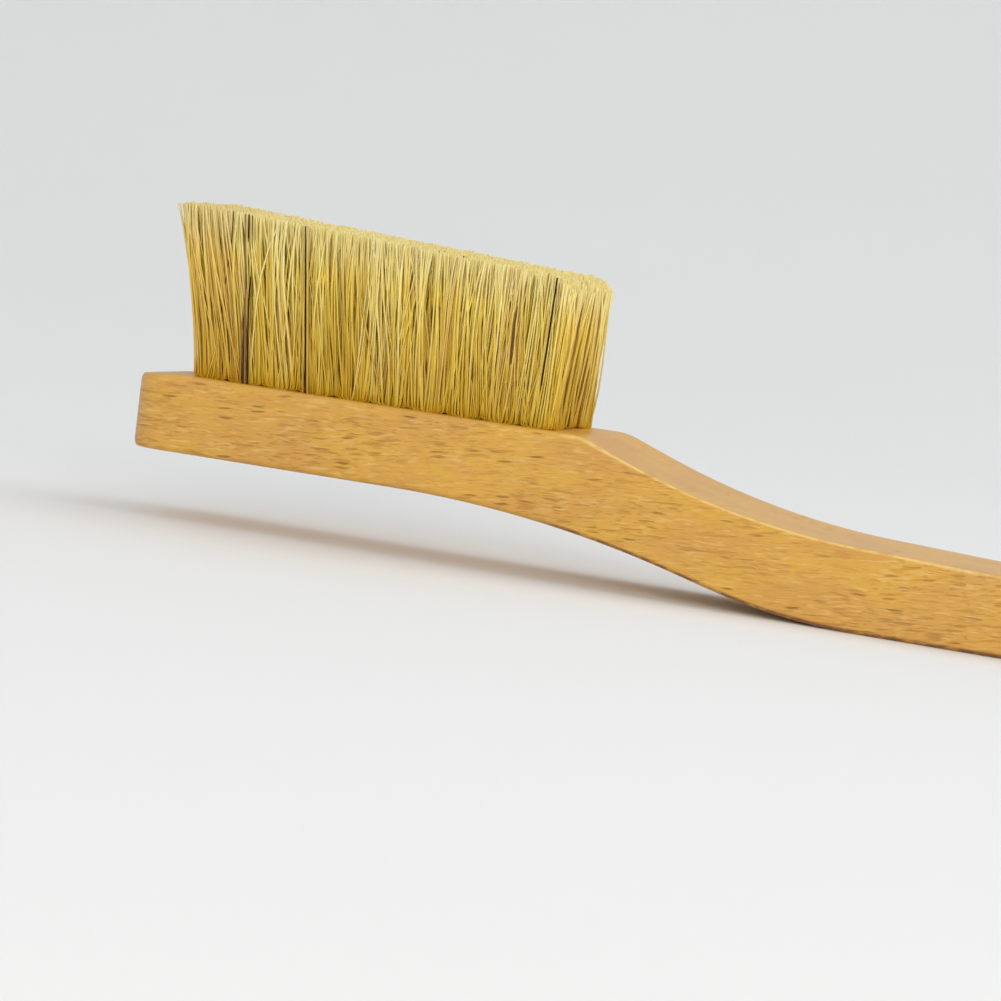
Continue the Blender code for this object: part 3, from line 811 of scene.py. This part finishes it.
class BristleBlock:
    """Where the block of bristles stands and how it is trimmed."""

    def __init__(self, sizes):
        self.sizes = sizes
        self.roots = {name: np.array(tuft_root(name)) for name in TUFTS}
        places = np.array(list(self.roots.values()))
        self.middle = (places[:, :2].min(0) + places[:, :2].max(0)) / 2
        rows = np.unique(np.round(places[:, 1], decimals=5))
        front = np.sort(places[np.isclose(places[:, 1], rows[0], atol=MM / 10), 0])
        self.fan = np.array((sizes.along_fan, sizes.across_fan))
        pitch = np.array((front[1] - front[0], rows[1] - rows[0]))
        self.half_cell = pitch * self.fan / 2
        field = np.array((front[-1] - front[0], rows[-1] - rows[0]))
        self.half_span = field / 2 * self.fan + self.half_cell
        self.edge = self.half_span / self.fan - pitch * EDGE_PITCHES
        self.top_middle = self.middle - np.array((sizes.lean, 0.0))
        rng = np.random.default_rng(sizes.seed)
        counts = np.maximum(np.round(2 * self.half_span / sizes.lock_size), 1).astype(int)
        grid = np.stack(np.meshgrid(*[np.arange(count) + 0.5 for count in counts], indexing="ij"), -1)
        grid = grid.reshape(-1, 2) + rng.uniform(-LOCK_JITTER, LOCK_JITTER, (grid[..., 0].size, 2))
        self.locks = self.top_middle + (grid / counts * 2 - 1) * self.half_span
        self.lock_pull = rng.uniform(0.0, sizes.lock_hold, len(self.locks))
        self.lock_bow = rng.normal(0.0, sizes.bow, (len(self.locks), 2))
        self.lock_trim = rng.normal(0.0, sizes.trim_error / 2, len(self.locks))
        self.lock_shade = rng.uniform(0.0, 1.0, len(self.locks))
        self.lock_rose = np.where(rng.uniform(size=len(self.locks)) < sizes.rosy_share, 1.0, 0.0)
        at_tip = self.locks[:, 0] < self.top_middle[0] - self.half_span[0] + sizes.brown_end
        self.lock_paleness = np.where(at_tip, sizes.brown_paleness, 1.0)
        self.lock_rose[at_tip] = 1.0

    def top_of(self, root):
        """Middle of a tuft's cell of the trimmed top."""
        return self.top_middle + (root[:2] - self.middle) * self.fan

    def room_of(self, root, spots):
        """Half sizes of the room that each hair's tuft has, just above the wood and at the trim."""
        inner = self.half_cell / self.fan * self.sizes.opening
        at_edge = np.abs(root[:2] - self.middle) > self.edge
        outward = at_edge & (spots * (root[:2] - self.middle) > 0)
        low = np.where(outward, self.sizes.root_radius, inner)
        high = np.broadcast_to(self.half_cell, spots.shape).copy()
        set_back = self.half_span[0] - self.half_cell[0] - abs(root[0] - self.middle[0]) * self.fan[0]
        if set_back > LEAST_SET_BACK:
            low[outward[:, 0], 0] += set_back * SET_BACK_SHARE
            high[outward[:, 0], 0] += set_back
        return low, high

    def kept_in(self, tops, loose):
        """Turn back tops that stray out of the block, and draw them in at its upright corners.

        The loose ones are only held near it.
        """
        core = self.half_span - self.sizes.plan_corner
        offset = tops - self.top_middle
        strayed = np.maximum(np.abs(offset) - self.half_span, 0.0)
        offset = np.sign(offset) * (np.abs(offset) - strayed * TURN_BACK_SHARES)
        beyond = np.maximum(np.abs(offset) - core, 0.0)
        far = np.linalg.norm(beyond, axis=1)
        square = np.maximum(beyond.max(1), TINY)
        drawn = beyond * np.where(far > 0, square / np.maximum(far, TINY), 1.0)[:, None]
        kept = self.top_middle + np.sign(offset) * (np.minimum(np.abs(offset), core) + drawn)
        limit = self.half_span + self.sizes.loose_reach
        held = self.top_middle + np.clip(tops - self.top_middle, -limit, limit)
        return np.where(loose[:, None], held, kept)

    def nearest_lock(self, tops):
        """Number of the lock that each top belongs to."""
        return np.linalg.norm(tops[:, None] - self.locks[None], axis=2).argmin(1)

    def trim(self, places):
        """Height of the trim above the head at places along the head."""
        sizes = self.sizes
        low = self.top_middle[0] - self.half_span[0]
        high = self.top_middle[0] + self.half_span[0]
        places = np.clip(places, low + TRIM_MARGIN, high - TRIM_MARGIN)
        way = (places - low) / (high - low)
        height = sizes.tip_height + (sizes.neck_height - sizes.tip_height) * way
        neck_loss = rounding_loss(high - places, sizes.trim_corner)
        return height - (neck_loss + rounding_loss(places - low, sizes.tip_trim_corner))


def hair_cells(sizes, rng):
    """Where the two legs of each folded hair stand in the square from -1 to 1."""
    counts = (sizes.hairs_along, sizes.hairs_across)
    grid = np.stack(np.meshgrid(*[np.arange(count) for count in counts], indexing="ij"), -1).reshape(-1, 2)
    legs = []
    for way in WAYS:
        spots = (grid + 0.5 + rng.uniform(-HAIR_JITTER, HAIR_JITTER, grid.shape)) / counts
        spots = np.clip(spots, CELL_MARGIN, 1 - CELL_MARGIN)
        legs.append(np.stack((way * spots[:, 0], spots[:, 1] * 2 - 1), 1))
    return legs


def grow_leg(block, root, spots, rng):
    """One leg of each folded hair above the wood: root spot, points of its path, looks and lock."""
    sizes = block.sizes
    count = len(spots)
    top = block.top_of(root)
    start = disc_spots(spots) * sizes.root_radius
    low, high = block.room_of(root, spots)
    base = spots * low
    stray = rng.normal(0.0, sizes.stray, (count, 2))
    crossing = rng.uniform(size=count) < sizes.crossing
    stray[crossing, 0] += rng.normal(0.0, sizes.wide_stray, crossing.sum())
    stray[:, 1] *= ACROSS_STRAY
    tops = block.kept_in(top + spots * high + stray, rng.uniform(size=count) < sizes.loose)
    lock = block.nearest_lock(tops)
    pull = block.lock_pull[lock] * rng.uniform(LEAST_PULL, 1.0, count)
    tops += (block.locks[lock] - tops) * pull[:, None]
    bow = block.lock_bow[lock] + rng.normal(0.0, sizes.bow, (count, 2))
    wave = rng.normal(0.0, sizes.wave, (count, 2))
    heights = block.trim(tops[:, 0]) + block.lock_trim[lock] + rng.normal(0.0, sizes.trim_error, count)
    reach = LEG_REACH[:, None]
    opened = 1 - (1 - reach) ** sizes.opening_power
    leaning = (reach + smooth(reach)) / 2
    sideways = (
        root[:2] + (top - root[:2]) * leaning + start[:, None] * (1 - opened) + base[:, None] * opened
        + (tops - top - base)[:, None] * reach + bow[:, None] * np.sin(math.pi * reach)
        + wave[:, None] * np.sin(2 * math.pi * reach)
    )
    upward = HEAD_TOP + LEG_REACH * heights[:, None]
    path = np.concatenate((sideways, upward[..., None]), 2)
    depth = (block.half_span - np.abs(tops - block.top_middle)).min(1)
    tint = {"hair_rose": block.lock_rose[lock], "hair_deep": smooth(depth / sizes.inner_depth)}
    return start, path, tint, lock


def place_dark_hairs(block, root, way, start, path, dark):
    """Turn the hairs nearest to the dark ones that show into those, in a tuft of the near row."""
    sizes = block.sizes
    near = block.top_middle[1] - block.half_span[1] - sizes.thickness
    root_near = root[1] - sizes.root_radius - sizes.thickness / 2
    if root[1] > block.middle[1] - block.half_cell[1]:
        return
    for from_tip, trim_from_tip, low, high, darkness in DARK_HAIRS:
        gap = TIP_X + from_tip - root[0]
        if abs(gap) > block.half_cell[0] * DARK_REACH or gap * way < 0:
            continue
        spot = np.array((gap, -math.sqrt(max(sizes.root_radius ** 2 - gap ** 2, 0.0))))
        chosen = np.linalg.norm(start - spot, axis=1).argmin()
        start[chosen] = spot
        sink = np.where((LEG_REACH >= low) & (LEG_REACH <= high), 0.0, sizes.thickness * SINK)
        path[chosen, :, 0] = TIP_X + from_tip + (trim_from_tip - from_tip) * LEG_REACH
        path[chosen, :, 1] = root_near + (near - root_near) * LEG_REACH + sink
        path[chosen, :, 2] = HEAD_TOP + LEG_REACH * block.trim(np.array((TIP_X + trim_from_tip,)))
        dark[chosen] = darkness


def grow_tuft(block, name, rng):
    """Paths, radii and looks of a tuft's folded hairs, each running from tip to tip."""
    sizes = block.sizes
    root = block.roots[name]
    wire_low, wire_high = wire_box(name)
    cells = hair_cells(sizes, rng)
    count = len(cells[0])
    usual = rng.normal(sizes.thickness, sizes.thickness_spread, count) / 2
    radii = np.clip(usual, sizes.thickness * LEAST_RADIUS, sizes.thickness * MOST_RADIUS)
    own_shade = rng.uniform(0.0, 1.0, count)
    least = (wire_high.x - wire_low.x) / 2 + sizes.thickness * WIRE_GAP
    legs = []
    tints = []
    for way, spots in zip(WAYS, cells):
        start, path, tint, lock = grow_leg(block, root, spots, rng)
        dark = np.where(rng.uniform(size=count) < sizes.dark, rng.uniform(HALF_DARK, 1.0, count), 0.0)
        place_dark_hairs(block, root, way, start, path, dark)
        shade = own_shade * (1 - sizes.lock_tint) + block.lock_shade[lock] * sizes.lock_tint
        tints.append({**tint, "hair_dark": dark, "hair_shade": shade * block.lock_paleness[lock]})
        inside_x = root[0] + way * np.maximum(np.abs(start[:, 0]), least)
        inside = np.stack((inside_x, root[1] + start[:, 1], np.full(count, wire_low.z)), 1)
        legs.append(np.concatenate((inside[:, None], path), 1))
    left, right = legs
    fold = (left[:, :1] + right[:, :1]) / 2
    reaches = np.abs(right[:, :1, 0] - left[:, :1, 0]) / 2
    shoulders = [fold + (leg[:, :1] - fold) * SHOULDER_WIDTH for leg in legs]
    for points, drop in ((shoulders[0], SHOULDER_DROP), (fold, FOLD_DROP), (shoulders[1], SHOULDER_DROP)):
        points[:, :, 2] = wire_low.z - reaches * drop
    paths = np.concatenate((left[:, ::-1], shoulders[0], fold, shoulders[1], right), 1)
    leg_reach = np.concatenate(((0.0,), LEG_REACH))
    reach = np.concatenate((leg_reach[::-1], np.zeros(FOLD_POINTS), leg_reach))
    steps = (len(leg_reach), FOLD_POINTS, len(leg_reach))
    looks = {
        label: np.repeat(np.stack((tints[0][label], np.zeros(count), tints[1][label]), 1), steps, 1)
        for label in tints[0]
    }
    return paths, radii, looks, reach


def hair_mesh(name, grown, sides):
    """One mesh of all the hairs of a tuft: tubes with closed ends and their attributes."""
    paths, radii, looks, reach = grown
    count, steps = paths.shape[:2]
    tangents = np.gradient(paths, axis=1)
    tangents /= np.linalg.norm(tangents, axis=2, keepdims=True)
    guide = np.zeros_like(tangents)
    guide[..., 1] = 1.0
    first = guide - (guide * tangents).sum(2, keepdims=True) * tangents
    first /= np.linalg.norm(first, axis=2, keepdims=True)
    second = np.cross(tangents, first)
    turns = 2 * math.pi * (np.arange(sides) + 0.5) / sides
    taper = 1 - TIP_TAPER * smooth(reach)
    wide = (radii[:, None] * taper[None])[:, :, None, None]
    rings = paths[:, :, None] + wide * (
        np.cos(turns)[None, None, :, None] * first[:, :, None]
        + np.sin(turns)[None, None, :, None] * second[:, :, None]
    )
    index = np.arange(count * steps * sides).reshape(count, steps, sides)
    turned = np.roll(index, -1, 2)
    quads = np.stack((index[:, :-1], turned[:, :-1], turned[:, 1:], index[:, 1:]), -1).reshape(-1, 4)
    caps = np.concatenate((index[:, 0, ::-1], index[:, -1]))
    mesh = bpy.data.meshes.new(name)
    mesh.from_pydata(rings.reshape(-1, 3).tolist(), [], quads.tolist() + caps.tolist())
    mesh.polygons.foreach_set("use_smooth", np.arange(len(quads) + len(caps)) < len(quads))
    looks["hair_reach"] = np.broadcast_to(reach, (count, steps))
    for label, values in looks.items():
        layer = mesh.attributes.new(label, "FLOAT", "POINT")
        layer.data.foreach_set("value", np.repeat(values, sides).astype(np.float32))
    lay_out(mesh, count, steps, sides)
    return mesh


def lay_out(mesh, count, steps, sides):
    """Give each hair its own cell of the flat map, so that its colours can be painted on it."""
    columns = math.ceil(math.sqrt(count))
    cells = np.stack((np.arange(count) % columns, np.arange(count) // columns), 1)
    step, side = np.meshgrid(np.arange(steps - 1), np.arange(sides), indexing="ij")
    corners = np.array(((0, 0), (1, 0), (1, 1), (0, 1)))
    across = (side[..., None] + corners[:, 0]) / sides
    along = (step[..., None] + corners[:, 1]) / (steps - 1)
    inner = np.stack((across, along), -1) * (1 - 2 * MAP_MARGIN) + MAP_MARGIN
    quads = (cells[:, None, None, None] + inner[None]).reshape(-1, 2)
    turns = 2 * math.pi * np.arange(sides) / sides
    low_end = np.stack((0.5 + MAP_END * np.cos(turns), MAP_MARGIN / 2 * (1 + np.sin(turns))), 1)
    high_end = np.stack((low_end[:, 0], 1 - low_end[:, 1]), 1)
    ends = [(cells[:, None] + end[None]).reshape(-1, 2) for end in (low_end, high_end)]
    places = np.concatenate((quads, *ends)) / columns
    layer = mesh.uv_layers.new(name=BAKE_MAP)
    layer.data.foreach_set("uv", places.astype(np.float32).ravel())


class BRUSH_OT_bristles(bpy.types.Operator):
    """Grow the hairs of every tuft, folded over their anchors and trimmed"""

    bl_idname = "climbing_brush.bristles"
    bl_label = "Bristle Tufts"

    def execute(self, context):
        sizes = context.scene.brush_bristles
        block = BristleBlock(sizes)
        material = boar_bristle(sizes)
        for index, name in enumerate(TUFTS):
            rng = np.random.default_rng(sizes.seed + 1 + index)
            title = name.replace(TUFT_WORD, "_hairs_")
            mesh = hair_mesh(title, grow_tuft(block, name, rng), sizes.sides)
            piece = add_piece(title, mesh, material)
            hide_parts(name)
            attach(piece, BODY)
        return {"FINISHED"}


class BRUSH_OT_anchors(bpy.types.Operator):
    """Finish the wire anchors in brass"""

    bl_idname = "climbing_brush.anchors"
    bl_label = "Wire Anchors"

    def execute(self, context):
        material = drawn_brass(context.scene.brush_wire)
        for name in ANCHORS:
            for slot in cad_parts[name].material_slots:
                slot.material = material
        return {"FINISHED"}


def backdrop_mesh(profile):
    """The backdrop's sheet, turned round Z from places and heights that start on the axis."""
    bm = bmesh.new()
    hub = bm.verts.new((0.0, 0.0, profile[0][1]))
    rings = turned_rings(bm, profile[1:], BACKDROP_SIDES)
    for near, far in zip(rings[0], rings[0][1:] + rings[0][:1]):
        bm.faces.new((hub, near, far))
    join_rings(bm, rings)
    return mesh_of("backdrop", bm)


def add_softbox(name, place, wide, high, power, tint):
    """An area light at a place, facing the brush."""
    lamp = bpy.data.lights.new(name, "AREA")
    lamp.shape = "RECTANGLE"
    lamp.size = wide
    lamp.size_y = high
    lamp.energy = power
    lamp.color = linear(tint)
    light = add_object(name, lamp)
    light.location = place
    light.rotation_euler = (Vector(LIT_POINT) - Vector(place)).to_track_quat("-Z", "Y").to_euler()


def add_camera(settings):
    """The camera at the photograph's angle."""
    azimuth, elevation, roll = settings.azimuth, settings.elevation, settings.roll
    back = Vector((
        math.sin(azimuth) * math.cos(elevation), -math.cos(azimuth) * math.cos(elevation), math.sin(elevation)
    ))
    level = Vector((math.cos(azimuth), math.sin(azimuth), 0.0))
    upright = back.cross(level)
    right = level * math.cos(roll) + upright * math.sin(roll)
    up = upright * math.cos(roll) - level * math.sin(roll)
    data = bpy.data.cameras.new("camera")
    data.sensor_fit = "HORIZONTAL"
    data.angle = settings.field
    data.clip_start = 0.01
    data.clip_end = 20.0
    camera = add_object("camera", data)
    turn = Matrix((right, up, back)).transposed().to_4x4()
    camera.matrix_world = Matrix.Translation(Vector(settings.target) + back * settings.distance) @ turn
    bpy.context.scene.camera = camera


class BRUSH_OT_stage(bpy.types.Operator):
    """Set up the studio: camera, pale floor with its cove, and soft light"""

    bl_idname = "climbing_brush.stage"
    bl_label = "Studio"

    def execute(self, context):
        settings = context.scene.brush_stage
        add_camera(settings)
        cove, reach = settings.cove_radius, settings.floor_radius
        profile = [(0.0, 0.0), (reach / 3, 0.0), (reach, 0.0)]
        for step in range(1, COVE_STEPS + 1):
            turn = math.pi / 2 * step / COVE_STEPS
            profile.append((reach + cove * math.sin(turn), cove * (1 - math.cos(turn))))
        profile.append((reach + cove, cove + settings.wall_height))
        mesh = backdrop_mesh(profile)
        mesh.shade_smooth()
        backdrop = add_piece("backdrop", mesh, matte_paper(settings))
        for name, (place, wide, high, power, tint) in SOFTBOXES.items():
            add_softbox(name, place, wide, high, power, tint)
        world = bpy.data.worlds.new("studio air")
        context.scene.world = world
        world.use_nodes = True
        backing = world.node_tree.nodes["Background"]
        backing.inputs["Color"].default_value = (*settings.sky, 1.0)
        backing.inputs["Strength"].default_value = settings.sky_strength
        context.scene.view_settings.view_transform = "Standard"
        return {"FINISHED"}


class BRUSH_PT_panel(bpy.types.Panel):
    """Lists the steps that build the brush"""

    bl_label = "Climbing Brush"
    bl_idname = "BRUSH_PT_panel"
    bl_space_type = "VIEW_3D"
    bl_region_type = "UI"
    bl_category = "Brush"

    def draw(self, context):
        for label, step in STEPS:
            self.layout.operator(step.bl_idname)
            if label:
                settings = getattr(context.scene, label)
                for name in type(settings).__annotations__:
                    self.layout.prop(settings, name)


SETTINGS = {
    "brush_stage": StageSettings,
    "brush_board": BoardSettings,
    "brush_bristles": BristleSettings,
    "brush_wire": WireSettings,
}
STEPS = (
    ("brush_stage", BRUSH_OT_stage),
    ("brush_board", BRUSH_OT_board),
    ("brush_bristles", BRUSH_OT_bristles),
    ("brush_wire", BRUSH_OT_anchors),
)


def register():
    """Register the settings, the operators and the panel."""
    for label, settings in SETTINGS.items():
        bpy.utils.register_class(settings)
        setattr(bpy.types.Scene, label, PointerProperty(type=settings))
    for _, step in STEPS:
        bpy.utils.register_class(step)
    bpy.utils.register_class(BRUSH_PT_panel)


def unregister():
    """Take everything out again."""
    bpy.utils.unregister_class(BRUSH_PT_panel)
    for _, step in reversed(STEPS):
        bpy.utils.unregister_class(step)
    for label, settings in reversed(list(SETTINGS.items())):
        delattr(bpy.types.Scene, label)
        bpy.utils.unregister_class(settings)


def main():
    """Build the studio and the brush."""
    for item in [item for item in bpy.data.objects if item.type in ("CAMERA", "LIGHT")]:
        bpy.data.objects.remove(item, do_unlink=True)
    register()
    bpy.ops.climbing_brush.stage()
    bpy.ops.climbing_brush.board()
    bpy.ops.climbing_brush.bristles()
    bpy.ops.climbing_brush.anchors()


if __name__ == "__main__":
    main()
